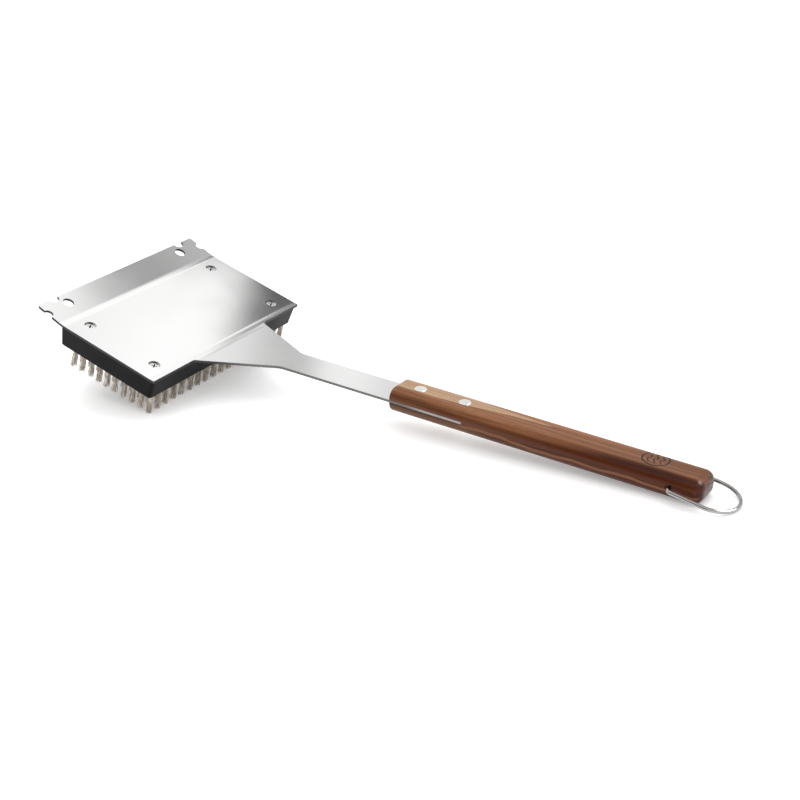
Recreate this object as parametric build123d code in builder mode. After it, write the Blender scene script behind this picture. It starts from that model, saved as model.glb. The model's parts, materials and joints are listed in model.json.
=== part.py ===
from build123d import *

import os
from math import asin, atan2, cos, degrees, hypot, radians, sin, tan

# Grill cleaning brush: a stamped steel blade with a scraper lip, a bristle block under its plate and
# a wooden handle riveted on its tang, with a wire hanging loop.
#
# The brush stands the way it is put down: on its rearmost bristle tufts and the end of the handle,
# with the loop drooping beside them.  +X runs from the scraper towards the handle, Y is across the
# brush, and Z = 0 is the surface it stands on, with the origin under the middle of its length.

# ---------------------------------------------------------------- driving dimensions (mm, degrees)
SHEET = 1.8                 # thickness of the stainless sheet

PLATE_WIDTH = 160.0         # across Y
PLATE_LENGTH = 78.7         # flat part, from the lip bend to the neck bend
LIP_LENGTH = 22.6           # scraper lip in front of the plate
LIP_RISE = 9.3              # angle of the lip above the plate
HEAD_TILT = 17.5            # the plate rises this much towards the front
LIP_BEND_RADIUS = 36.0
NECK_BEND_RADIUS = 36.0
LIP_CORNER_RADIUS = 2.0

HOLE_RADIUS = 3.9           # one round hole in each front corner
HOLE_REACH = 14.5           # from the lip bend
HOLE_SPREAD = 59.0          # from the centre line
FRONT_NOTCH_RADIUS = 4.2    # half-round notch in the front edge
FRONT_NOTCH_SPREAD = 65.5
SIDE_NOTCH_RADIUS = 3.3     # half-round notch in each side edge of the lip
SIDE_NOTCH_REACH = 12.7

SHOULDER_HALF = 38.6        # where the neck leaves the rear edge of the plate
NECK_LENGTH = 50.6          # length of the taper
SHANK_WIDTH = 25.0
SHOULDER_FILLET = 3.0
KINK_FILLET = 12.0
TANG_END = 187.6            # end of the steel, from the neck bend

BLOCK_FRONT = 80.6          # from the neck bend forwards
BLOCK_REAR = 0.6
BLOCK_INSET = 0.8           # from each side edge of the plate
BLOCK_HEIGHT = 14.5
BLOCK_DRAFT = 5.0
BLOCK_CORNER = 2.4
BLOCK_EDGE = 1.4

TUFT_ROWS = 10              # along X
TUFTS_PER_ROW = 18          # along Y
TUFT_PITCH_X = 7.2
TUFT_PITCH_Y = 8.55
TUFT_REAR = 4.5             # rearmost row, from the neck bend
TUFT_RADIUS = 1.3           # at the mouth of its hole
TUFT_FLARE = 0.9            # degrees that the bundle opens towards its tip
BRISTLE_LENGTH = 14.0       # outside the block
TUFT_DEPTH = 6.8            # inside the block
ANCHOR_LENGTH = 4.8         # staple that pins each folded bundle
ANCHOR_THICKNESS = 0.4
ANCHOR_HEIGHT = 1.3
ANCHOR_DEPTH = 4.9          # from the face of the block to the near edge of the staple

SCREW_PITCH_X = 55.4
SCREW_PITCH_Y = 129.2
SCREW_MIDDLE = 40.2         # middle of the four screws, from the neck bend
SCREW_HEAD_RADIUS = 3.5
SCREW_SHANK_RADIUS = 1.75
SCREW_LENGTH = 6.2
SCREW_POINT = 2.0
SCREW_MOUTH_RADIUS = 3.9    # straight mouth of each screw's hole, above the 90 degree countersink
SCREW_MOUTH_DEPTH = 0.6
CROSS_WIDTH = 0.9           # cross-shaped drive recess
CROSS_SPAN = 4.2
CROSS_DEPTH = 1.6
CROSS_TAPER = 12.0
CROSS_TURN = 30.0
SCREW_TIP_RADIUS = 0.3

HANDLE_FRONT = 134.6        # from the neck bend
HANDLE_END = 345.8
HANDLE_WIDTH = 25.7
HANDLE_THICKNESS = 16.2
HANDLE_CORNER = 6.8
HANDLE_FRONT_ROUND = 2.0
HANDLE_END_ROUND = 6.0
KERF_CLEARANCE = 0.05       # on each face of the tang
KERF_END_GAP = 0.5          # between the end of the tang and the end of the saw cut

RIVET_PLACES = (150.8, 182.9)
RIVET_HEAD_RADIUS = 4.0
RIVET_HEAD_HEIGHT = 1.8
RIVET_PROUD = 0.35
RIVET_BARREL_RADIUS = 2.6
RIVET_PIN_RADIUS = 1.6
RIVET_EDGE = 0.3
RIVET_PIN_LENGTH = 11.0     # behind the lower head
RIVET_BARREL_LENGTH = 12.0  # behind the upper head

WIRE_RADIUS = 1.3           # hanging loop
LOOP_PIVOT = 326.2          # from the neck bend
LOOP_HALF_WIDTH = 17.0      # to the middle of the wire
LOOP_REACH = 39.2           # from the pivot to the middle of the bow
LOOP_BEND_RADIUS = 3.2
PIN_INNER_END = 5.8         # the wire's ends, from the centre line
PIN_CLEARANCE = 0.05
PIN_HOLE_END = 5.0
PIN_MOUTH_RADIUS = 2.4      # countersunk mouth of each side hole
PIN_MOUTH_DEPTH = 0.7

# ---------------------------------------------------------------- worked-out sizes
TUFT_TIP_RADIUS = TUFT_RADIUS + BRISTLE_LENGTH * tan(radians(TUFT_FLARE))
SCREW_RECESS = SCREW_MOUTH_DEPTH + SCREW_MOUTH_RADIUS - SCREW_HEAD_RADIUS   # each head sits on its cone
SCREW_CONE_HEIGHT = SCREW_HEAD_RADIUS - SCREW_SHANK_RADIUS
TIP_DEPTH = SHEET + BLOCK_HEIGHT + BRISTLE_LENGTH       # bristle tips below the plate's top face
HANDLE_BOTTOM = (SHEET + HANDLE_THICKNESS) / 2          # below the top face of the sheet

# the rear edge of the rearmost tips touches Z = 0
TIP_REACH = TUFT_REAR - TUFT_TIP_RADIUS                 # from the neck bend
BEND_HEIGHT = TIP_DEPTH * cos(radians(HEAD_TILT)) - TIP_REACH * sin(radians(HEAD_TILT))
# the handle slopes down until the rounded lower edge of its end touches Z = 0 as well
ROUND_REACH = HANDLE_END - HANDLE_END_ROUND             # the middle of that rounding
ROUND_DROP = HANDLE_BOTTOM - HANDLE_END_ROUND
HANDLE_SLOPE = degrees(
    asin((BEND_HEIGHT - HANDLE_END_ROUND) / hypot(ROUND_REACH, ROUND_DROP))
    - atan2(ROUND_DROP, ROUND_REACH)
)

# the loop droops from its pivot until its bow touches Z = 0
PIVOT_DROP = LOOP_PIVOT * sin(radians(HANDLE_SLOPE)) + SHEET / 2 * cos(radians(HANDLE_SLOPE))
PIVOT_HEIGHT = BEND_HEIGHT - PIVOT_DROP
LOOP_DROOP = degrees(asin((PIVOT_HEIGHT - WIRE_RADIUS) / LOOP_REACH))

# overall length, which centres the model on X = 0
LIP_ANGLE = HEAD_TILT + LIP_RISE
FRONT_X = -(
    PLATE_LENGTH * cos(radians(HEAD_TILT))
    + LIP_LENGTH * cos(radians(LIP_ANGLE))
    + SHEET * sin(radians(LIP_ANGLE))
)
PIVOT_X = LOOP_PIVOT * cos(radians(HANDLE_SLOPE)) - SHEET / 2 * sin(radians(HANDLE_SLOPE))
REAR_X = PIVOT_X + LOOP_REACH * cos(radians(LOOP_DROOP)) + WIRE_RADIUS
BEND_X = -(FRONT_X + REAR_X) / 2


def sloped(origin, angle):
    """A plane facing up, whose X runs towards the handle and down by the given angle."""
    slope = radians(angle)
    return Plane(origin=origin, x_dir=(cos(slope), 0, -sin(slope)), z_dir=(sin(slope), 0, cos(slope)))


# ---------------------------------------------------------------- reference planes
HEAD = sloped((BEND_X, 0, BEND_HEIGHT), HEAD_TILT)              # top face of the plate
SHANK = sloped((BEND_X, 0, BEND_HEIGHT), HANDLE_SLOPE)          # top face of the neck and tang
LIP_BEND = HEAD.from_local_coords(Vector(-PLATE_LENGTH, 0, 0))
LIP = sloped(LIP_BEND, LIP_ANGLE)                               # top face of the scraper lip
HANDLE_MID = SHANK.offset(-SHEET / 2)                           # middle of the sheet and handle
SCREW_TOP = HEAD.shift_origin(HEAD.from_local_coords(Vector(-SCREW_MIDDLE, 0, 0)))
SCREW_SINK = SCREW_TOP.offset(-SCREW_MOUTH_DEPTH)               # where the countersinks start
BLOCK_MIDDLE = (BLOCK_FRONT + BLOCK_REAR) / 2
BLOCK_TOP = Plane(                                              # facing down, under the plate
    origin=HEAD.from_local_coords(Vector(-BLOCK_MIDDLE, 0, -SHEET)),
    x_dir=HEAD.x_dir,
    z_dir=-HEAD.z_dir,
)
BLOCK_FACE = BLOCK_TOP.offset(BLOCK_HEIGHT)                     # facing down, the bristles' mouths
PIVOT = HANDLE_MID.from_local_coords(Vector(LOOP_PIVOT, 0, 0))
LOOP = sloped(PIVOT, LOOP_DROOP)                                # plane of the loop, at its pivot
SEAT_HEIGHT = HANDLE_THICKNESS / 2 + RIVET_PROUD - RIVET_HEAD_HEIGHT
RIVET_TOP_SEAT = HANDLE_MID.offset(SEAT_HEIGHT)                 # facing up, under the upper heads
RIVET_BOTTOM_SEAT = Plane(                                      # facing down, over the lower heads
    origin=HANDLE_MID.offset(-SEAT_HEIGHT).origin,
    x_dir=HANDLE_MID.x_dir,
    z_dir=-HANDLE_MID.z_dir,
)


def across(plane, distance):
    """The plane of a cross-section: its X is across the brush, its Z runs towards the handle."""
    return Plane(
        origin=plane.from_local_coords(Vector(distance, 0, 0)),
        x_dir=(0, 1, 0),
        z_dir=plane.x_dir,
    )


# ---------------------------------------------------------------- steel blade
def middle_of_sheet(plane, distance):
    """A point half-way through the sheet, as X and Z."""
    point = plane.from_local_coords(Vector(distance, 0, -SHEET / 2))
    return (point.X, point.Z)


with BuildPart() as steel_blade:
    # one strip of sheet, bent at the lip and at the neck
    with BuildSketch(Plane.XZ):
        with BuildLine():
            FilletPolyline(
                middle_of_sheet(LIP, -LIP_LENGTH),
                middle_of_sheet(HEAD, -PLATE_LENGTH),
                middle_of_sheet(SHANK, 0),
                middle_of_sheet(SHANK, TANG_END),
                radius=[LIP_BEND_RADIUS, NECK_BEND_RADIUS],
            )
        trace(line_width=SHEET)
    extrude(amount=PLATE_WIDTH / 2, both=True)

    # waste on both sides of the neck and the shank
    with BuildSketch(SHANK):
        for side in (-1, 1):
            with BuildLine():
                FilletPolyline(
                    (0, side * PLATE_WIDTH),
                    (0, side * SHOULDER_HALF),
                    (NECK_LENGTH, side * SHANK_WIDTH / 2),
                    (TANG_END + 5, side * SHANK_WIDTH / 2),
                    radius=[SHOULDER_FILLET, KINK_FILLET],
                )
                Polyline(
                    (TANG_END + 5, side * SHANK_WIDTH / 2),
                    (TANG_END + 5, side * PLATE_WIDTH),
                    (0, side * PLATE_WIDTH),
                )
            make_face()
    extrude(amount=10, both=True, mode=Mode.SUBTRACT)

    # scraper lip: round holes, half-round notches in the front edge and in the side edges
    with BuildSketch(LIP):
        with Locations((-HOLE_REACH, HOLE_SPREAD), (-HOLE_REACH, -HOLE_SPREAD)):
            Circle(HOLE_RADIUS)
        with Locations((-LIP_LENGTH, FRONT_NOTCH_SPREAD), (-LIP_LENGTH, -FRONT_NOTCH_SPREAD)):
            Circle(FRONT_NOTCH_RADIUS)
        with Locations((-SIDE_NOTCH_REACH, PLATE_WIDTH / 2), (-SIDE_NOTCH_REACH, -PLATE_WIDTH / 2)):
            Circle(SIDE_NOTCH_RADIUS)
    extrude(amount=2 * SHEET, both=True, mode=Mode.SUBTRACT)

    # rounded corners of the lip
    corners = steel_blade.edges().filter_by(
        lambda edge: abs(edge.center().Y) > PLATE_WIDTH / 2 - 0.01 and edge.length < 1.2 * SHEET
    )
    fillet(corners.group_by(Axis.X)[0], LIP_CORNER_RADIUS)

    # countersunk holes for the four screws
    with Locations(Location(SCREW_SINK)):
        with GridLocations(SCREW_PITCH_X, SCREW_PITCH_Y, 2, 2):
            CounterSinkHole(SCREW_SHANK_RADIUS, SCREW_MOUTH_RADIUS, depth=2 * SHEET, counter_sink_angle=90)

    # rivet holes in the tang
    with BuildSketch(HANDLE_MID):
        with Locations(*[(place, 0) for place in RIVET_PLACES]):
            Circle(RIVET_BARREL_RADIUS)
    extrude(amount=SHEET, both=True, mode=Mode.SUBTRACT)
steel_blade.part.label = "steel_blade"


# ---------------------------------------------------------------- bristle block
def tuft_places(*rows):
    """Places of the tufts in the given rows on the block's face, counting rows from the rear."""
    places = []
    for row in rows:
        for tuft in range(TUFTS_PER_ROW):
            across_brush = (tuft - (TUFTS_PER_ROW - 1) / 2) * TUFT_PITCH_Y
            places.append((BLOCK_MIDDLE - TUFT_REAR - row * TUFT_PITCH_X, across_brush))
    return places


with BuildPart() as brush_block:
    with BuildSketch(BLOCK_TOP):
        Rectangle(BLOCK_FRONT - BLOCK_REAR, PLATE_WIDTH - 2 * BLOCK_INSET)
    extrude(amount=BLOCK_HEIGHT, taper=BLOCK_DRAFT)
    upright = brush_block.edges().filter_by(
        lambda edge: abs(edge.tangent_at(0.5).dot(BLOCK_TOP.z_dir)) > 0.9
    )
    fillet(upright, BLOCK_CORNER)
    fillet(brush_block.faces().sort_by(Axis(BLOCK_TOP.origin, BLOCK_TOP.z_dir))[-1].edges(), BLOCK_EDGE)

    # a blind hole for each tuft
    with BuildSketch(BLOCK_FACE):
        with Locations(*tuft_places(*range(TUFT_ROWS))):
            Circle(TUFT_RADIUS)
    extrude(amount=-TUFT_DEPTH, mode=Mode.SUBTRACT)

    # the staples bite into the plastic on both sides of each hole
    with BuildSketch(BLOCK_FACE.offset(-ANCHOR_DEPTH)):
        with Locations(*tuft_places(*range(TUFT_ROWS))):
            Rectangle(ANCHOR_THICKNESS, ANCHOR_LENGTH)
    extrude(amount=-ANCHOR_HEIGHT, mode=Mode.SUBTRACT)

    # screw holes, with the end of each countersink
    with Locations(Location(SCREW_SINK)):
        with GridLocations(SCREW_PITCH_X, SCREW_PITCH_Y, 2, 2):
            CounterSinkHole(
                SCREW_SHANK_RADIUS,
                SCREW_MOUTH_RADIUS,
                depth=SCREW_RECESS - SCREW_MOUTH_DEPTH + SCREW_LENGTH + SCREW_POINT,
                counter_sink_angle=90,
            )
brush_block.part.label = "brush_block"


# ---------------------------------------------------------------- bristle tufts and their staples
tuft_rows = []
staple_rows = []
for row in range(TUFT_ROWS):
    with BuildPart() as tuft_row:
        with BuildSketch(BLOCK_FACE):
            with Locations(*tuft_places(row)):
                Circle(TUFT_RADIUS)
        extrude(amount=BRISTLE_LENGTH, taper=-TUFT_FLARE)
        with BuildSketch(BLOCK_FACE):
            with Locations(*tuft_places(row)):
                Circle(TUFT_RADIUS)
        extrude(amount=-TUFT_DEPTH)
        # the wires fold over the staple
        with BuildSketch(BLOCK_FACE.offset(-ANCHOR_DEPTH)):
            with Locations(*tuft_places(row)):
                Rectangle(ANCHOR_THICKNESS, ANCHOR_LENGTH)
        extrude(amount=-ANCHOR_HEIGHT, mode=Mode.SUBTRACT)
    tuft_row.part.label = f"tuft_row_{row + 1:02d}"
    tuft_rows.append(tuft_row)

    with BuildPart() as staple_row:
        with BuildSketch(BLOCK_FACE.offset(-ANCHOR_DEPTH)):
            with Locations(*tuft_places(row)):
                Rectangle(ANCHOR_THICKNESS, ANCHOR_LENGTH)
        extrude(amount=-ANCHOR_HEIGHT)
    staple_row.part.label = f"staple_row_{row + 1:02d}"
    staple_rows.append(staple_row)


# ---------------------------------------------------------------- plate screws
with BuildPart() as head_screws:
    with Locations(Location(SCREW_TOP.offset(-SCREW_RECESS))):
        with GridLocations(SCREW_PITCH_X, SCREW_PITCH_Y, 2, 2):
            Cone(
                SCREW_HEAD_RADIUS - SCREW_CONE_HEIGHT,
                SCREW_HEAD_RADIUS,
                SCREW_CONE_HEIGHT,
                align=(Align.CENTER, Align.CENTER, Align.MAX),
            )
            Cylinder(SCREW_SHANK_RADIUS, SCREW_LENGTH, align=(Align.CENTER, Align.CENTER, Align.MAX))
        with Locations((0, 0, -SCREW_LENGTH)):
            with GridLocations(SCREW_PITCH_X, SCREW_PITCH_Y, 2, 2):
                Cone(
                    SCREW_TIP_RADIUS,
                    SCREW_SHANK_RADIUS,
                    SCREW_POINT,
                    align=(Align.CENTER, Align.CENTER, Align.MAX),
                )
    with BuildSketch(SCREW_TOP.offset(-SCREW_RECESS)):
        with GridLocations(SCREW_PITCH_X, SCREW_PITCH_Y, 2, 2):
            Rectangle(CROSS_SPAN, CROSS_WIDTH, rotation=CROSS_TURN)
            Rectangle(CROSS_WIDTH, CROSS_SPAN, rotation=CROSS_TURN)
    extrude(amount=-CROSS_DEPTH, taper=CROSS_TAPER, mode=Mode.SUBTRACT)
head_screws.part.label = "head_screws"


# ---------------------------------------------------------------- wooden handle
with BuildPart() as handle:
    with BuildSketch(across(HANDLE_MID, HANDLE_FRONT)):
        RectangleRounded(HANDLE_WIDTH, HANDLE_THICKNESS, HANDLE_CORNER)
    extrude(amount=HANDLE_END - HANDLE_FRONT)
    ends = handle.faces().sort_by(Axis(HANDLE_MID.origin, HANDLE_MID.x_dir))
    fillet(ends[0].edges(), HANDLE_FRONT_ROUND)
    fillet(ends[-1].edges(), HANDLE_END_ROUND)

    # saw kerf for the tang
    with BuildSketch(HANDLE_MID):
        with Locations((HANDLE_FRONT - 1, 0)):
            Rectangle(
                TANG_END + KERF_END_GAP - HANDLE_FRONT + 1,
                HANDLE_WIDTH + 2,
                align=(Align.MIN, Align.CENTER),
            )
    extrude(amount=SHEET / 2 + KERF_CLEARANCE, both=True, mode=Mode.SUBTRACT)

    # through holes and head seats for the two rivets
    with BuildSketch(HANDLE_MID):
        with Locations(*[(place, 0) for place in RIVET_PLACES]):
            Circle(RIVET_BARREL_RADIUS)
    extrude(amount=HANDLE_THICKNESS, both=True, mode=Mode.SUBTRACT)
    for face in (RIVET_TOP_SEAT, RIVET_BOTTOM_SEAT):
        with BuildSketch(face):
            with Locations(*[(place, 0) for place in RIVET_PLACES]):
                Circle(RIVET_HEAD_RADIUS)
        extrude(amount=RIVET_HEAD_HEIGHT, mode=Mode.SUBTRACT)

    # a hole in each side for the ends of the loop
    for side in (-1, 1):
        side_plane = Plane(origin=PIVOT, x_dir=HANDLE_MID.x_dir, z_dir=(0, side, 0))
        with BuildSketch(side_plane.offset(PIN_HOLE_END)):
            Circle(WIRE_RADIUS + PIN_CLEARANCE)
        extrude(amount=HANDLE_WIDTH, mode=Mode.SUBTRACT)
        with BuildSketch(side_plane.offset(HANDLE_WIDTH / 2 - PIN_MOUTH_DEPTH)):
            Circle(PIN_MOUTH_RADIUS)
        extrude(amount=2 * PIN_MOUTH_DEPTH, mode=Mode.SUBTRACT)
handle.part.label = "handle"


# ---------------------------------------------------------------- rivets
# the lower half is a head with a solid pin, pressed into the barrel of the upper half
with BuildPart() as rivet_posts:
    with BuildSketch(RIVET_BOTTOM_SEAT):
        with Locations(*[(place, 0) for place in RIVET_PLACES]):
            Circle(RIVET_HEAD_RADIUS)
    extrude(amount=RIVET_HEAD_HEIGHT)
    rims = rivet_posts.faces().sort_by(Axis(RIVET_BOTTOM_SEAT.origin, RIVET_BOTTOM_SEAT.z_dir))
    fillet([face.edges()[0] for face in rims[-2:]], RIVET_EDGE)
    with BuildSketch(RIVET_BOTTOM_SEAT):
        with Locations(*[(place, 0) for place in RIVET_PLACES]):
            Circle(RIVET_PIN_RADIUS)
    extrude(amount=-RIVET_PIN_LENGTH)
rivet_posts.part.label = "rivet_posts"

with BuildPart() as rivet_caps:
    with BuildSketch(RIVET_TOP_SEAT):
        with Locations(*[(place, 0) for place in RIVET_PLACES]):
            Circle(RIVET_HEAD_RADIUS)
    extrude(amount=RIVET_HEAD_HEIGHT)
    rims = rivet_caps.faces().sort_by(Axis(RIVET_TOP_SEAT.origin, RIVET_TOP_SEAT.z_dir))
    fillet([face.edges()[0] for face in rims[-2:]], RIVET_EDGE)
    with BuildSketch(RIVET_TOP_SEAT):
        with Locations(*[(place, 0) for place in RIVET_PLACES]):
            Circle(RIVET_BARREL_RADIUS)
            Circle(RIVET_PIN_RADIUS, mode=Mode.SUBTRACT)
    extrude(amount=-RIVET_BARREL_LENGTH)
rivet_caps.part.label = "rivet_caps"


# ---------------------------------------------------------------- hanging loop
# one bent wire: a pin in each side of the handle, two straight legs and a half-round bow
LEG_LENGTH = LOOP_REACH - LOOP_HALF_WIDTH

with BuildPart() as hanging_loop:
    with BuildLine(LOOP) as wire:
        FilletPolyline(
            (0, -PIN_INNER_END),
            (0, -LOOP_HALF_WIDTH),
            (LEG_LENGTH, -LOOP_HALF_WIDTH),
            radius=LOOP_BEND_RADIUS,
        )
        RadiusArc((LEG_LENGTH, -LOOP_HALF_WIDTH), (LEG_LENGTH, LOOP_HALF_WIDTH), -LOOP_HALF_WIDTH)
        FilletPolyline(
            (LEG_LENGTH, LOOP_HALF_WIDTH),
            (0, LOOP_HALF_WIDTH),
            (0, PIN_INNER_END),
            radius=LOOP_BEND_RADIUS,
        )
    with BuildSketch(Plane(origin=wire.line @ 0, z_dir=wire.line % 0)):
        Circle(WIRE_RADIUS)
    sweep()
hanging_loop.part.label = "hanging_loop"


# ---------------------------------------------------------------- one STEP file per sub-part
os.makedirs("parts", exist_ok=True)
export_step(steel_blade.part, "parts/steel_blade.step")
export_step(brush_block.part, "parts/brush_block.step")
export_step(head_screws.part, "parts/head_screws.step")
export_step(handle.part, "parts/handle.step")
export_step(rivet_posts.part, "parts/rivet_posts.step")
export_step(rivet_caps.part, "parts/rivet_caps.step")
export_step(hanging_loop.part, "parts/hanging_loop.step")
for row_parts in tuft_rows + staple_rows:
    export_step(row_parts.part, f"parts/{row_parts.part.label}.step")
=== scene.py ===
"""Grill cleaning brush: materials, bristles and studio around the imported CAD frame.  Metres, +Z up."""

import json
import math
import random

import bmesh
import bpy
from mathutils import Matrix, Vector


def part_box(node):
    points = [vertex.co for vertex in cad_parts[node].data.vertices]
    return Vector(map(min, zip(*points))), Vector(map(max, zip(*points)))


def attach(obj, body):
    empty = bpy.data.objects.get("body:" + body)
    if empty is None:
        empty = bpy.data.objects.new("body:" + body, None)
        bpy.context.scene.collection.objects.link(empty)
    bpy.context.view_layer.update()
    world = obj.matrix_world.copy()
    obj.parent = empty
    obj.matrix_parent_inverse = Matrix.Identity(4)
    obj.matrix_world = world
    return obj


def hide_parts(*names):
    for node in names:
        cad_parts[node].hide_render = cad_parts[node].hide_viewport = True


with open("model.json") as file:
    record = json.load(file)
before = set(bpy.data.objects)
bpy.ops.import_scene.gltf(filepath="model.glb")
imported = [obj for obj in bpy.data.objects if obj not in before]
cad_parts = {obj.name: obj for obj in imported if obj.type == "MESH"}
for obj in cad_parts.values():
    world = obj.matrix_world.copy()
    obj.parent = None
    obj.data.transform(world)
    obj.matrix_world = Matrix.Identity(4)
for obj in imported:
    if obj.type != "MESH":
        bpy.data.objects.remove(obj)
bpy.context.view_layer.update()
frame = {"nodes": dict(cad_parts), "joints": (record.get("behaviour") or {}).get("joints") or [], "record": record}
nodes = frame["nodes"]
record = frame["record"]
MM = 0.001


# ---------------------------------------------------------------- places read from the frame
def mount(name):
    """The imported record's mount of this name: its position and its unit axis."""
    entry = next(m for m in record["mounts"] if m["name"] == name)
    return Vector(entry["pos_m"]), Vector(entry["axis"]).normalized()


def joint(name):
    return next(j for j in frame["joints"] if j["name"] == name)


PLATE_POINT, PLATE_NORMAL = mount("plate_top")
PLATE_REARWARD = Vector((0, 1, 0)).cross(PLATE_NORMAL)          # along the plate, towards the handle
HEAD_TILT = math.atan2(PLATE_NORMAL.x, PLATE_NORMAL.z)
PIVOT = Vector(joint("loop_swing")["pos_m"])

# the handle's own axes: its middle line runs through the pivot of the loop
HANDLE_SLOPE = math.radians(3.206)
HANDLE_ALONG = Vector((math.cos(HANDLE_SLOPE), 0, -math.sin(HANDLE_SLOPE)))
HANDLE_LENGTH = 211.2 * MM
PIVOT_FROM_END = 19.6 * MM
HANDLE_FRONT = PIVOT - HANDLE_ALONG * (HANDLE_LENGTH - PIVOT_FROM_END)


# ---------------------------------------------------------------- node helpers
class Shader:
    """A material's node tree, built by short calls that return output sockets."""

    def __init__(self, name):
        self.material = bpy.data.materials.new(name)
        self.material.use_nodes = True
        self.tree = self.material.node_tree
        self.tree.nodes.clear()
        self.output = self.tree.nodes.new("ShaderNodeOutputMaterial")
        self.surface = self.tree.nodes.new("ShaderNodeBsdfPrincipled")
        self.link(self.surface.outputs[0], self.output.inputs["Surface"])

    def link(self, source, target):
        self.tree.links.new(source, target)

    def feed(self, socket, value):
        """Links an output socket, or writes a plain value."""
        if isinstance(value, bpy.types.NodeSocket):
            self.link(value, socket)
        else:
            socket.default_value = value

    def math(self, operation, first, second=0.0):
        node = self.tree.nodes.new("ShaderNodeMath")
        node.operation = operation
        self.feed(node.inputs[0], first)
        self.feed(node.inputs[1], second)
        return node.outputs[0]

    def ramp(self, value, low, high, out_low=0.0, out_high=1.0, smooth=True):
        """Maps low..high to out_low..out_high, clamped."""
        node = self.tree.nodes.new("ShaderNodeMapRange")
        node.interpolation_type = "SMOOTHSTEP" if smooth else "LINEAR"
        for socket, number in zip(node.inputs[:5], (value, low, high, out_low, out_high)):
            self.feed(socket, number)
        return node.outputs[0]

    def mix(self, factor, first, second):
        node = self.tree.nodes.new("ShaderNodeMix")
        node.data_type = "RGBA"
        self.feed(node.inputs["Factor"], factor)
        self.feed(node.inputs[6], colour(first))
        self.feed(node.inputs[7], colour(second))
        return node.outputs[2]

    def place(self, origin=(0, 0, 0), pitch=0.0, scale=(1, 1, 1)):
        """Object coordinates measured from an origin, turned about Y and stretched."""
        coordinates = self.tree.nodes.new("ShaderNodeTexCoord")
        turned = self.tree.nodes.new("ShaderNodeMapping")
        turned.vector_type = "TEXTURE"
        turned.inputs["Location"].default_value = origin
        turned.inputs["Rotation"].default_value = (0, pitch, 0)
        self.link(coordinates.outputs["Object"], turned.inputs["Vector"])
        stretched = self.tree.nodes.new("ShaderNodeMapping")
        stretched.inputs["Scale"].default_value = scale
        self.link(turned.outputs[0], stretched.inputs["Vector"])
        return stretched.outputs[0]

    def between(self, factor, first, second):
        """A number that goes from the first to the second as the factor goes from 0 to 1."""
        return self.math("ADD", first, self.math("MULTIPLY", factor, self.math("SUBTRACT", second, first)))

    def upward(self):
        """How far the face looks up or down: 1 on level faces, 0 on upright ones."""
        coordinates = self.tree.nodes.new("ShaderNodeTexCoord")
        return self.math("ABSOLUTE", self.split(coordinates.outputs["Normal"])[2])

    def split(self, vector):
        node = self.tree.nodes.new("ShaderNodeSeparateXYZ")
        self.link(vector, node.inputs[0])
        return node.outputs[:3]

    def noise(self, vector, scale, detail=3.0, roughness=0.5, distortion=0.0):
        node = self.tree.nodes.new("ShaderNodeTexNoise")
        self.link(vector, node.inputs["Vector"])
        node.inputs["Scale"].default_value = scale
        node.inputs["Detail"].default_value = detail
        node.inputs["Roughness"].default_value = roughness
        node.inputs["Distortion"].default_value = distortion
        return node.outputs["Fac"]

    def bump(self, height, distance, strength):
        node = self.tree.nodes.new("ShaderNodeBump")
        node.inputs["Strength"].default_value = strength
        node.inputs["Distance"].default_value = distance
        self.link(height, node.inputs["Height"])
        return node.outputs[0]

    def set(self, **values):
        """Writes the main shader's sockets: base_color, metallic, roughness, normal and others."""
        for key, value in values.items():
            socket = self.surface.inputs[key.replace("_", " ").title().replace("Ior", "IOR")]
            self.feed(socket, colour(value) if key.endswith("color") else value)
        return self.material


def colour(value):
    """Three linear components as a colour; sockets pass through."""
    if isinstance(value, bpy.types.NodeSocket):
        return value
    return (*value, 1.0)


# ---------------------------------------------------------------- metals
BRUSH_DEPTH = 0.001 * MM         # of the fine lines in brushed metal
SHEET_GRAIN = (60, 5200, 5200)
SHEET_ROUGHNESS = 0.115
EDGE_SHADE_FADES = (-0.125, -0.100)   # along X: the sheared edges turn from near-black painted shade to dull grey
TANG_SHOWS = (0.008, 0.030)      # along X: the tang's edges, sanded bright with the wood


def brushed_metal(name, tint, rough, grain, contrast=0.02):
    """Turned or drawn metal with very fine brush lines, faint smudges and a satin gloss."""
    shader = Shader(name)
    lines = shader.noise(shader.place(scale=grain), 1.0, detail=3.0)
    smudges = shader.noise(shader.place(), 28.0, detail=2.0)
    roughness = shader.math("ADD", shader.ramp(lines, 0.3, 0.7, rough - contrast, rough + contrast),
                            shader.ramp(smudges, 0.35, 0.75, -0.012, 0.02))
    darker = tuple(part * 0.95 for part in tint)
    base = shader.mix(shader.ramp(lines, 0.35, 0.65), darker, tint)
    return shader.set(base_color=base, metallic=1.0, roughness=roughness,
                      normal=shader.bump(lines, BRUSH_DEPTH, 0.5))


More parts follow.
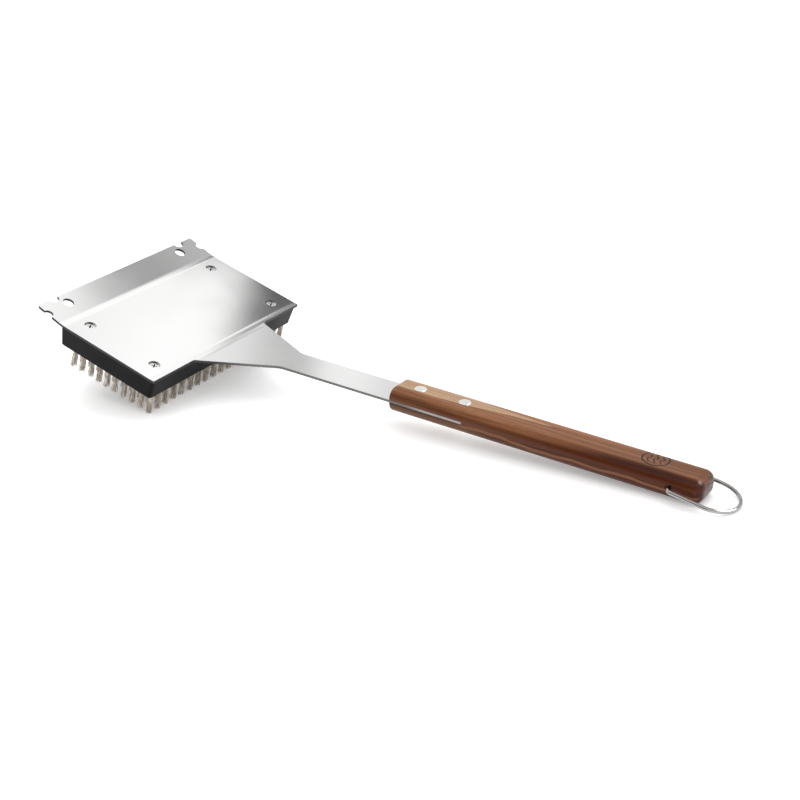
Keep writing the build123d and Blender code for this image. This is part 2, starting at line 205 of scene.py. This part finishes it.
def sheet_metal():
    """Stamped stainless sheet: satin faces with fine lines along the brush, and sheared edges with painted shade,
    near black at the head and a lighter dull grey on the shank.
    """
    shader = Shader("sheet_steel")
    lines = shader.noise(shader.place(scale=SHEET_GRAIN), 1.0, detail=3.0)
    smudges = shader.noise(shader.place(), 28.0, detail=2.0)
    edges = shader.ramp(shader.upward(), 0.55, 0.80, 1.0, 0.0)
    satin = shader.math("ADD", shader.ramp(lines, 0.3, 0.7, SHEET_ROUGHNESS - 0.015, SHEET_ROUGHNESS + 0.015),
                        shader.ramp(smudges, 0.35, 0.75, -0.01, 0.015))
    base = shader.mix(shader.ramp(lines, 0.35, 0.65), (0.79, 0.79, 0.785), (0.82, 0.82, 0.815))
    along = shader.split(shader.place())[0]
    sanded = shader.math("MULTIPLY", edges, shader.ramp(along, *TANG_SHOWS))
    shank = shader.ramp(along, *EDGE_SHADE_FADES)
    # painted shade: the sheared edges are near black at the head and a lighter dull grey along the shank
    shaded_edges = shader.mix(shank, (0.05, 0.05, 0.05), (0.13, 0.125, 0.12))
    dull = shader.math("MULTIPLY", edges, shank)
    base = shader.mix(sanded, shader.mix(edges, base, shaded_edges), (0.32, 0.31, 0.30))
    return shader.set(base_color=base, metallic=shader.between(dull, 1.0, 0.3),
                      roughness=shader.between(edges, satin, 0.38),
                      normal=shader.bump(lines, BRUSH_DEPTH, 0.5))


def screw_steel():
    """Zinc-bright screw heads with painted shade: dark in their cross recesses and on their undersides."""
    shader = Shader("screw_steel")
    depth = shader.split(shader.place(origin=PLATE_POINT, pitch=HEAD_TILT))[2]
    # painted shade: everything deeper than 1.12 mm under the plate's top face turns near black
    recess_shade = shader.ramp(depth, -1.50 * MM, -1.12 * MM, 1.0, 0.0)
    turned = shader.noise(shader.place(), 900.0, detail=3.0)
    bright = shader.mix(shader.ramp(turned, 0.35, 0.65), (0.84, 0.84, 0.83), (0.93, 0.93, 0.92))
    return shader.set(base_color=shader.mix(recess_shade, bright, (0.03, 0.03, 0.03)), metallic=1.0,
                      roughness=shader.ramp(turned, 0.3, 0.7, 0.24, 0.34))


def steel_wire():
    """Bristle wire: dull steel with a warm tint that changes from wire to wire."""
    shader = Shader("bristle_wire")
    patches = shader.noise(shader.place(scale=(1, 1, 0.15)), 900.0, detail=2.0)
    base = shader.mix(shader.ramp(patches, 0.35, 0.65), (0.36, 0.31, 0.265), (0.76, 0.69, 0.605))
    return shader.set(base_color=base, metallic=0.85, roughness=0.42)


# ---------------------------------------------------------------- black plastic
GRAIN_DEPTH = 0.04 * MM


def moulded_plastic():
    """Black moulded plastic with a fine spark-eroded grain."""
    shader = Shader("moulded_plastic")
    grain = shader.noise(shader.place(), 2600.0, detail=3.0, roughness=0.6)
    cloud = shader.noise(shader.place(), 35.0, detail=3.0)
    base = shader.mix(cloud, (0.0022, 0.0022, 0.0024), (0.0042, 0.0042, 0.0045))
    return shader.set(base_color=base, roughness=shader.ramp(cloud, 0.3, 0.7, 0.42, 0.52),
                      specular_ior_level=0.11, normal=shader.bump(grain, GRAIN_DEPTH, 0.35))


# ---------------------------------------------------------------- rosewood
STREAK_TIP = 110.0 * MM         # the pale sapwood on the far side of the top ends here, from the front
MARK_PLACE = HANDLE_LENGTH - 34.6 * MM      # a burnt mark on the top face: three wavy lines in a ring
MARK_OFFSET = 1.5 * MM          # across, towards the far side
MARK_RADIUS = 8.2 * MM
MARK_SPACING = 4.0 * MM
MARK_WAVE = 0.9 * MM
MARK_WAVELENGTH = 6.0 * MM
MARK_LINE = 0.5 * MM            # half the width of a burnt line
SUNK_DEPTH = 0.25 * MM          # scale of the relief of the pores and the burnt lines


def rosewood():
    """Oiled rosewood: long figure, pores, a pale streak, a thin light line and a burnt mark."""
    shader = Shader("rosewood")
    place = shader.place(origin=HANDLE_FRONT, pitch=HANDLE_SLOPE)
    along, across, up = shader.split(place)

    def stretched(x, y, z):
        return shader.place(origin=HANDLE_FRONT, pitch=HANDLE_SLOPE, scale=(x, y, z))

    # growth layers: noise pulled out along the grain, with slow waves in it
    figure = shader.noise(stretched(7, 190, 150), 1.0, detail=5.0, roughness=0.55, distortion=0.4)
    bands = shader.noise(stretched(4, 430, 330), 1.0, detail=3.0, roughness=0.5, distortion=0.8)
    pores = shader.noise(stretched(110, 3200, 3200), 1.0, detail=2.0)
    wander = shader.noise(stretched(22, 0, 0), 1.0, detail=2.0)

    grain = shader.ramp(figure, 0.34, 0.66)
    side_front = shader.mix(grain, (0.044, 0.0125, 0.0042), (0.130, 0.0430, 0.0150))
    # painted shade: the sides darken towards the end of the handle
    side_end_shaded = shader.mix(grain, (0.024, 0.0038, 0.0008), (0.074, 0.0140, 0.0024))
    side = shader.mix(shader.ramp(along, 0.03, 0.16), side_front, side_end_shaded)
    top = shader.mix(grain, (0.130, 0.0450, 0.0155), (0.255, 0.1020, 0.0390))
    # partly the wood's own tone, partly painted light and shade: lighter and greyer on top, redder and darker down
    # the sides, and painted shade that darkens the sides and the near half of the top towards the end
    end_shade = shader.math("MULTIPLY", shader.ramp(along, 0.09, 0.19),
                          shader.ramp(across, -0.003, -0.010, 0.0, 0.004))
    heart_and_shade = shader.mix(shader.ramp(shader.math("SUBTRACT", up, end_shade), 0.0030, 0.0078), side, top)
    dark_bands = shader.math("MULTIPLY", shader.ramp(bands, 0.54, 0.72),
                             shader.ramp(along, 0.06, 0.12, 0.6, 0.32))
    heart_and_shade = shader.mix(dark_bands, heart_and_shade, (0.032, 0.0075, 0.0022))
    under = shader.math("MULTIPLY", shader.ramp(up, -0.0010, -0.0030),
                        shader.ramp(along, 0.050, 0.080, 1.0, 0.0))
    heart_and_shade = shader.mix(shader.math("MULTIPLY", under, 0.7), heart_and_shade, (0.135, 0.062, 0.030))

    # pale sapwood on the far side of the top: as wide as the front end, then a band that tapers to a tip
    near_edge = shader.math("ADD", shader.ramp(along, 0.030, STREAK_TIP + 0.015, -0.0042, 0.0036),
                            shader.ramp(wander, 0.3, 0.7, -0.0009, 0.0009))
    far_edge = shader.math("SUBTRACT", shader.ramp(along, 0.046, 0.064, 0.0150, 0.0066),
                           shader.ramp(along, 0.062, STREAK_TIP, 0.0, 0.0036, smooth=False))
    sap = shader.math("MULTIPLY", shader.ramp(shader.math("SUBTRACT", across, near_edge), -0.0003, 0.0007),
                      shader.ramp(shader.math("SUBTRACT", far_edge, across), -0.0003, 0.0007))
    sap = shader.math("MULTIPLY", sap, shader.ramp(along, STREAK_TIP - 0.004, STREAK_TIP, 1.0, 0.0))
    # down the far side its lower boundary climbs from the kerf to the top face
    lower = shader.math("ADD", shader.ramp(along, 0.002, 0.056, 0.0005, 0.0060, smooth=False),
                        shader.ramp(wander, 0.3, 0.7, -0.0006, 0.0006))
    sap = shader.math("MULTIPLY", sap, shader.ramp(shader.math("SUBTRACT", up, lower), 0.0, 0.0010))
    pale = shader.mix(shader.ramp(bands, 0.42, 0.66, 0.0, 0.8), (0.370, 0.232, 0.132), (0.245, 0.135, 0.070))
    wood = shader.mix(sap, heart_and_shade, pale)

    # thin light line low on the near side, from the end of the tang back
    level = shader.ramp(wander, 0.25, 0.75, -0.0034, -0.0006)
    offset = shader.math("ABSOLUTE", shader.math("SUBTRACT", up, level))
    line = shader.math("MULTIPLY", shader.ramp(offset, 0.0004, 0.0013, 1.0, 0.0),
                       shader.ramp(along, 0.048, 0.056))
    line = shader.math("MULTIPLY", line, shader.ramp(across, -0.0115, -0.0100, 0.85, 0.0))
    wood = shader.mix(line, wood, (0.190, 0.080, 0.032))

    # dark open pores
    open_pores = shader.ramp(pores, 0.60, 0.72, 0.0, 0.55)
    wood = shader.mix(open_pores, wood, (0.020, 0.007, 0.003))

    # the burnt mark: a ring around three wavy lines that run across the handle, on the top face only
    from_mark = shader.math("SUBTRACT", along, MARK_PLACE)
    sideways = shader.math("SUBTRACT", across, MARK_OFFSET)
    radius = shader.math("SQRT", shader.math("ADD", shader.math("MULTIPLY", from_mark, from_mark),
                                             shader.math("MULTIPLY", sideways, sideways)))
    ring = shader.math("ABSOLUTE", shader.math("SUBTRACT", radius, MARK_RADIUS))
    turns = shader.math("MULTIPLY", sideways, math.tau / MARK_WAVELENGTH)
    wave = shader.math("MULTIPLY", shader.math("SINE", turns), MARK_WAVE)
    inside = shader.ramp(radius, MARK_RADIUS * 0.72, MARK_RADIUS * 0.78, 1.0, 0.0)
    mark = shader.ramp(ring, MARK_LINE * 0.8, MARK_LINE * 1.2, 1.0, 0.0)
    for row in (-1, 0, 1):
        centre = shader.math("ADD", wave, row * MARK_SPACING)
        distance = shader.math("ABSOLUTE", shader.math("SUBTRACT", from_mark, centre))
        stroke = shader.math("MULTIPLY", inside,
                             shader.ramp(distance, MARK_LINE * 0.8, MARK_LINE * 1.3, 1.0, 0.0))
        mark = shader.math("MAXIMUM", mark, stroke)
    mark = shader.math("MULTIPLY", mark, shader.ramp(up, 0.004, 0.005))
    wood = shader.mix(shader.math("MULTIPLY", mark, 0.95), wood, (0.006, 0.004, 0.003))

    sunk = shader.math("SUBTRACT", shader.math("MULTIPLY", open_pores, -0.25), mark)
    rough = shader.math("ADD", shader.ramp(figure, 0.3, 0.7, 0.23, 0.30), shader.math("MULTIPLY", mark, 0.3))
    return shader.set(base_color=wood, roughness=rough, specular_ior_level=0.2,
                      normal=shader.bump(sunk, SUNK_DEPTH, 0.5))


# ---------------------------------------------------------------- bristles
TUFTS_PER_ROW = 18
TUFT_PITCH = 8.55 * MM
MOUTH_DEPTH = 16.3 * MM         # from the plate's top face to the face of the block
MOUTH_RADIUS = 1.25 * MM
TIP_RADIUS = 2.15 * MM
BRISTLE_LENGTH = 14.0 * MM
WIRES_PER_TUFT = 26
WIRE_RADIUS = 0.19 * MM
WIRE_SIDES = 5
WIRE_STEPS = 6
WIRE_ROOT = 0.4 * MM            # how far inside the block's face a wire begins
CRIMP = 0.13 * MM
CRIMP_WAVES = 2.1               # along one wire
TUFT_LEAN = 0.22                # mm, spread of how far a tuft's tips stand to one side
CUT_SPREAD = 0.35               # mm, spread of the wires' lengths
GOLDEN_ANGLE = 2.39996          # radians: spreads the wires evenly over the tuft
FLOOR_CLEARANCE = 0.02 * MM


def tuft_mouths(node):
    """The middle of each tuft's hole in the block's face, read from the row's CAD solids."""
    low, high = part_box(node)
    middle = (low + high) / 2
    depth = (middle - PLATE_POINT).dot(PLATE_NORMAL)
    mouth = middle + PLATE_NORMAL * (-MOUTH_DEPTH - depth)
    for tuft in range(TUFTS_PER_ROW):
        yield mouth + Vector((0, (tuft - (TUFTS_PER_ROW - 1) / 2) * TUFT_PITCH, 0))


def add_wire(mesh, mouth, start, lean, length, dice):
    """One crimped wire: a thin tube from inside the block's face to its cut tip."""
    turn = dice.uniform(0, math.tau)
    phase = dice.uniform(0, math.tau)
    crimp_side = PLATE_REARWARD * math.cos(turn) + Vector((0, 1, 0)) * math.sin(turn)
    rings = []
    for step in range(WIRE_STEPS + 1):
        share = step / WIRE_STEPS
        down = -WIRE_ROOT + share * (length + WIRE_ROOT)
        spread = start + (lean - start) * min(1.0, share * 1.05) ** 0.8
        wobble = crimp_side * CRIMP * math.sin(phase + CRIMP_WAVES * math.tau * share)
        centre = mouth - PLATE_NORMAL * down + spread + wobble
        centre.z = max(centre.z, WIRE_RADIUS + FLOOR_CLEARANCE)
        ring = []
        for side in range(WIRE_SIDES):
            angle = math.tau * side / WIRE_SIDES
            out = PLATE_REARWARD * math.cos(angle) + Vector((0, 1, 0)) * math.sin(angle)
            ring.append(mesh.verts.new(centre + out * WIRE_RADIUS))
        rings.append(ring)
    for lower, upper in zip(rings, rings[1:]):
        for side in range(WIRE_SIDES):
            after = (side + 1) % WIRE_SIDES
            mesh.faces.new((lower[side], lower[after], upper[after], upper[side])).smooth = True
    mesh.faces.new(rings[0])
    mesh.faces.new(reversed(rings[-1]))


def wire_row(node, material, seed):
    """All the wires of one row of tufts, as one piece that stands for the row's CAD solids."""
    dice = random.Random(seed)
    mesh = bmesh.new()
    for mouth in tuft_mouths(node):
        tuft_lean = Vector((dice.gauss(0, TUFT_LEAN), dice.gauss(0, TUFT_LEAN), 0)) * MM
        for wire in range(WIRES_PER_TUFT):
            radius = math.sqrt((wire + 0.5) / WIRES_PER_TUFT)
            angle = wire * GOLDEN_ANGLE + dice.uniform(-0.2, 0.2)
            out = PLATE_REARWARD * math.cos(angle) + Vector((0, 1, 0)) * math.sin(angle)
            start = out * radius * MOUTH_RADIUS
            lean = out * radius * TIP_RADIUS * dice.uniform(0.75, 1.12) + tuft_lean
            length = BRISTLE_LENGTH - abs(dice.gauss(0, CUT_SPREAD)) * MM
            add_wire(mesh, mouth, start, lean, length, dice)
    bmesh.ops.recalc_face_normals(mesh, faces=mesh.faces)
    data = bpy.data.meshes.new(node + "_wires")
    mesh.to_mesh(data)
    mesh.free()
    row = bpy.data.objects.new(node + "_wires", data)
    bpy.context.collection.objects.link(row)
    data.materials.append(material)
    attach(row, "brush")
    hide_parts(node)


# ---------------------------------------------------------------- materials on the CAD nodes
def dress(node, material):
    """Gives a CAD node its finish."""
    for slot in nodes[node].material_slots:
        slot.material = material


staple_steel = brushed_metal("staple_steel", (0.6, 0.6, 0.6), 0.3, grain=(900, 900, 900))
rivet_metal = brushed_metal("rivet_metal", (0.86, 0.85, 0.82), 0.36, grain=(700, 700, 700), contrast=0.06)
loop_wire = brushed_metal("loop_wire", (0.40, 0.39, 0.38), 0.12, grain=(60, 400, 400), contrast=0.03)

dress("steel_blade", sheet_metal())
dress("head_screws", screw_steel())
dress("rivet_caps", rivet_metal)
dress("rivet_posts", rivet_metal)
dress("hanging_loop", loop_wire)
dress("brush_block", moulded_plastic())
dress("handle", rosewood())
bristle_wire = steel_wire()
for number in range(1, 11):
    dress(f"staple_row_{number:02d}", staple_steel)
    wire_row(f"tuft_row_{number:02d}", bristle_wire, seed=number)


# ---------------------------------------------------------------- studio
WORLD_LIGHT = 0.92
FLOOR_SIZE = (40, 40)
FLOOR_GLOW = 0.24               # lightens the floor and the shadows on it


def stage_plane(name, centre, size, facing, material):
    """A flat rectangle that isn't part of the object, turned to face a point."""
    data = bpy.data.meshes.new(name)
    half_x = size[0] / 2
    half_y = size[1] / 2
    corners = [(-half_x, -half_y, 0), (half_x, -half_y, 0), (half_x, half_y, 0), (-half_x, half_y, 0)]
    data.from_pydata(corners, [], [(0, 1, 2, 3)])
    data.materials.append(material)
    plane = bpy.data.objects.new(name, data)
    plane.matrix_world = Matrix.Translation(centre) @ facing_turn(Vector(centre), Vector(facing))
    bpy.context.collection.objects.link(plane)
    return plane


def facing_turn(place, target):
    """The turn that points +Z from a place to a target, with +Y kept upright."""
    return (target - place).to_track_quat("Z", "Y").to_matrix().to_4x4()


def flat_colour(name, value, glow=0.0):
    shader = Shader(name)
    return shader.set(base_color=value, roughness=1.0, specular_ior_level=0.0,
                      emission_color=(1, 1, 1), emission_strength=glow)


def dark_card(name, centre, size, facing, shade):
    """A card that only reflections see: it shapes the gradients on the steel."""
    reflections_only(stage_plane(name, centre, size, facing, flat_colour(name, (shade, shade, shade))))


def reflections_only(card):
    card.visible_camera = False
    card.visible_diffuse = False
    card.visible_shadow = False
    card.visible_transmission = False


def area_light(name, place, target, size, power):
    light = bpy.data.lights.new(name, "AREA")
    light.shape = "RECTANGLE"
    light.size = size[0]
    light.size_y = size[1]
    light.energy = power
    lamp = bpy.data.objects.new(name, light)
    # a lamp shines along its own -Z, so +Z points away from the target
    lamp.matrix_world = Matrix.Translation(place) @ facing_turn(Vector(target), Vector(place))
    bpy.context.collection.objects.link(lamp)
    return lamp


def studio():
    scene = bpy.context.scene
    world = bpy.data.worlds.new("studio")
    world.use_nodes = True
    world.node_tree.nodes["Background"].inputs["Color"].default_value = (1.0, 1.0, 1.0, 1.0)
    world.node_tree.nodes["Background"].inputs["Strength"].default_value = WORLD_LIGHT
    scene.world = world
    scene.view_settings.view_transform = "Standard"

    floor = flat_colour("floor", (0.9, 0.9, 0.9), glow=FLOOR_GLOW)
    stage_plane("floor", (0, 0, 0), FLOOR_SIZE, (0, 0, 1), floor)
    area_light("overhead", (-0.25, 0.10, 2.2), (-0.05, 0, 0), (2.4, 2.4), 14.0).visible_glossy = False
    area_light("key", (-0.70, 1.45, 1.50), (-0.05, 0, 0), (2.4, 2.4), 34.0).visible_glossy = False
    area_light("rim", (1.30, 0.74, 1.50), (0.2, 0, 0), (1.2, 1.2), 60.0).visible_diffuse = False
    dark_card("camera_side", (-0.7, -2.2, 0.6), (3.2, 1.8), (-0.7, 0, 0.2), 0.03)
    tent_wall()


WALL_AZIMUTH = math.radians(-22.0)      # from +Y towards +X
WALL_ELEVATION = math.radians(38.0)
WALL_DISTANCE = 2.5
WALL_FACES = Vector((-0.06, 0, 0.03))   # the point that the wall is turned to
WALL_SIZE = (2.2, 1.6)


def tent_wall():
    """The far wall of a light tent, seen only in reflections: its bright panels and the dark gaps
    between them give the plate, the lip and the neck their soft gradients."""
    sine, cosine = math.sin(WALL_AZIMUTH), math.cos(WALL_AZIMUTH)
    low, high = math.cos(WALL_ELEVATION), math.sin(WALL_ELEVATION)
    outward = Vector((low * sine, low * cosine, high))
    level = Vector((cosine, -sine, 0))
    rising = Vector((-high * sine, -high * cosine, low))

    shader = Shader("tent_wall")
    right, up = shader.split(shader.place())[:2]
    # over the plate: a bright panel that ends in a dark gap on the right
    slant = shader.math("SUBTRACT", right, shader.math("MULTIPLY", up, 0.2))
    gap = shader.math("MULTIPLY", shader.ramp(slant, -0.045, 0.055), shader.ramp(up, 0.05, 0.13, 1.0, 0.0))
    panel = shader.math("MULTIPLY", shader.between(gap, 1.24, 0.08),
                        shader.ramp(right, -0.32, -0.12, 0.84, 1.0, smooth=False))
    panel = shader.math("MULTIPLY", panel, shader.ramp(up, -0.135, -0.092, 0.3, 1.0))
    # over the lip: a second panel above the gap, and a weaker one below
    lip = shader.math("ADD", shader.ramp(up, 0.335, 0.455, 0.33, 1.12), shader.ramp(up, 0.16, 0.30, 0.26, 0.0))
    upper = shader.between(shader.ramp(right, 0.12, 0.21), panel, lip)
    # between the plate and the neck: the bend sweeps over a panel that fades across its sweep
    rise = shader.math("SUBTRACT", up, shader.math("MULTIPLY", right, 0.8))
    sweep = shader.math("ADD", right, shader.math("MULTIPLY", up, 0.8))
    bend = shader.ramp(rise, 0.0, 0.13, 0.20, 1.22, smooth=False)
    upper = shader.between(shader.ramp(sweep, -0.215, -0.165), bend, upper)
    # low on the left, over the neck: two panels with a seam between them
    neck = shader.math("ADD", shader.ramp(right, -0.66, -0.49, 0.98, 0.58),
                       shader.ramp(right, -0.465, -0.40, 0.0, 0.5))
    neck = shader.math("SUBTRACT", neck, shader.ramp(right, -0.34, -0.24, 0.0, 0.2))
    light = shader.between(shader.ramp(up, -0.38, -0.24), neck, upper)
    shader.set(base_color=(0, 0, 0), specular_ior_level=0.0, emission_color=(1, 1, 1), emission_strength=light)

    wall = stage_plane("tent_wall", (0, 0, 0), WALL_SIZE, (0, 0, 1), shader.material)
    axes = Matrix((level, rising, -outward)).transposed().to_4x4()
    wall.matrix_world = Matrix.Translation(WALL_FACES + outward * WALL_DISTANCE) @ axes
    reflections_only(wall)


CAMERA_PLACE = (0.48589, -0.78300, 0.43463)
CAMERA_AZIMUTH = math.radians(31.781)
CAMERA_ELEVATION = math.radians(24.465)
CAMERA_ROLL = math.radians(-0.406)
CAMERA_LENS = 71.11
CAMERA_SENSOR = 36.0


def camera():
    """The main view of the brush, from its near side and a little above."""
    azimuth, elevation, roll = CAMERA_AZIMUTH, CAMERA_ELEVATION, CAMERA_ROLL
    right = Vector((math.cos(azimuth), math.sin(azimuth), 0))
    back = Vector((math.sin(azimuth) * math.cos(elevation), -math.cos(azimuth) * math.cos(elevation),
                   math.sin(elevation)))
    up = back.cross(right)
    turned_right = right * math.cos(roll) + up * math.sin(roll)
    turned_up = up * math.cos(roll) - right * math.sin(roll)
    data = bpy.data.cameras.new("camera")
    data.lens = CAMERA_LENS
    data.sensor_width = CAMERA_SENSOR
    data.clip_start = 0.01
    view = bpy.data.objects.new("camera", data)
    axes = Matrix((turned_right, turned_up, back)).transposed().to_4x4()
    view.matrix_world = Matrix.Translation(CAMERA_PLACE) @ axes
    bpy.context.collection.objects.link(view)
    bpy.context.scene.camera = view


studio()
camera()
